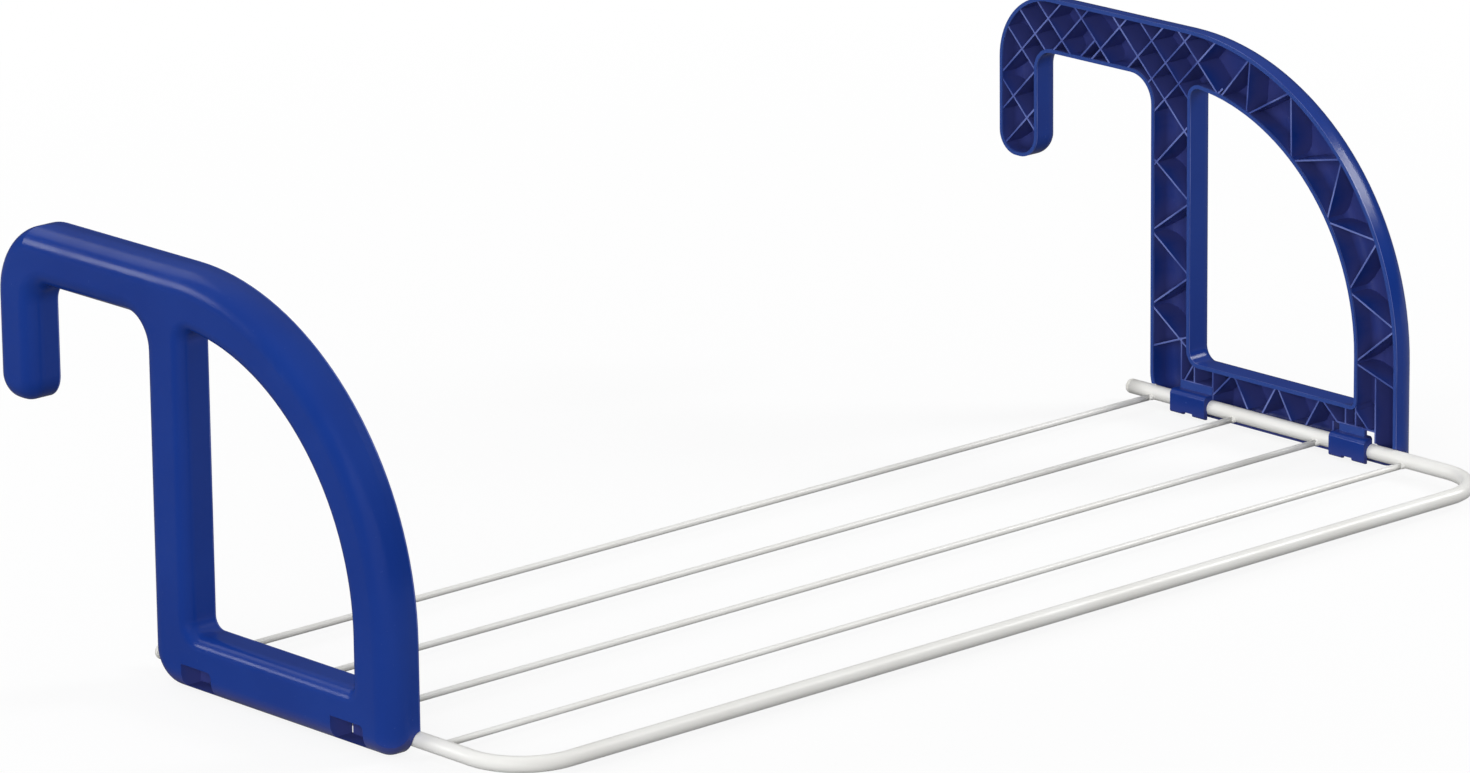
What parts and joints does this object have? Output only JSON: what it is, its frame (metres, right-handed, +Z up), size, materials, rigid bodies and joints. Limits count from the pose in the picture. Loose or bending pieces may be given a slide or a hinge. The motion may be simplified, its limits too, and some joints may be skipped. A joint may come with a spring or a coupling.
{
  "type": "hang-over drying rack",
  "caption": "Wire drying rack that hooks over a balcony rail or radiator on two moulded side brackets, which fold flat onto the wires.",
  "frame": {"origin": "middle of the rack's box, on the surface that it stands on", "axes": "+X along the drying lines, +Y from the front tube towards the rail side, +Z up"},
  "size_m": [1.054, 0.549, 0.3152],
  "materials": {
    "blue_plastic": "moulded, semi-gloss",
    "white_coat": "white powder coat",
    "white_plastic": "moulded, semi-gloss"
  },
  "bodies": {
    "frame": {"frame_tube": "white_coat", "rear_wire": "white_coat", "second_wire": "white_coat", "third_wire": "white_coat", "front_wire": "white_coat", "left_end_cap": "white_plastic", "right_end_cap": "white_plastic"},
    "left_bracket": {"left_bracket": "blue_plastic"},
    "right_bracket": {"right_bracket": "blue_plastic"}
  },
  "joints": [
    {"name": "left_fold", "type": "hinge", "parent": "frame", "child": "left_bracket", "pos_m": [-0.5, 0, 0.0112], "axis": [0, 1, 0], "range_deg": [0, 90]},
    {"name": "right_fold", "type": "hinge", "parent": "frame", "child": "right_bracket", "pos_m": [0.5, 0, 0.0112], "axis": [0, -1, 0], "range_deg": [0, 90]}
  ]
}
